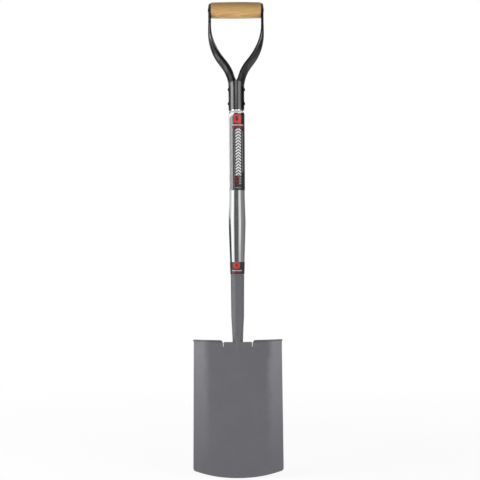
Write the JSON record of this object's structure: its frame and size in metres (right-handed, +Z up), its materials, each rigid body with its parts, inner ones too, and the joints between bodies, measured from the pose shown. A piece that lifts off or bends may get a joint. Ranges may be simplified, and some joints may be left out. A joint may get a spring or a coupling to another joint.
{
  "type": "digging spade",
  "caption": "Treaded digging spade: dished grey steel blade, cranked tube neck, swelled chrome shaft and a black Y-shaped handle that carries a turned wooden grip.",
  "frame": {"origin": "middle of the blade's cutting edge, on the shaft's axis", "axes": "+Z up the shaft's axis towards the grip, +Y towards the blade's dished front, where the treads are turned, +X along the grip"},
  "size_m": [0.19, 0.0399, 0.9994],
  "materials": {
    "powder_coat": "satin grey powder coat",
    "weld_coat": "powder coat over a weld bead",
    "chrome_plate": "bright chrome plate",
    "zinc_rivet": "zinc plate",
    "black_enamel": "gloss black enamel",
    "black_rivet": "black enamel",
    "varnished_ash": "satin varnish",
    "label_film": "printed film"
  },
  "bodies": {
    "root": {"blade": "powder_coat", "neck": "powder_coat", "neck_weld": "weld_coat", "shaft": "chrome_plate", "head_rivet": "zinc_rivet", "yoke": "black_enamel", "yoke_rivet_upper": "black_rivet", "yoke_rivet_lower": "black_rivet", "grip": "varnished_ash", "grip_pin": "black_rivet", "shaft_label": "label_film", "neck_label": "label_film"}
  },
  "joints": []
}
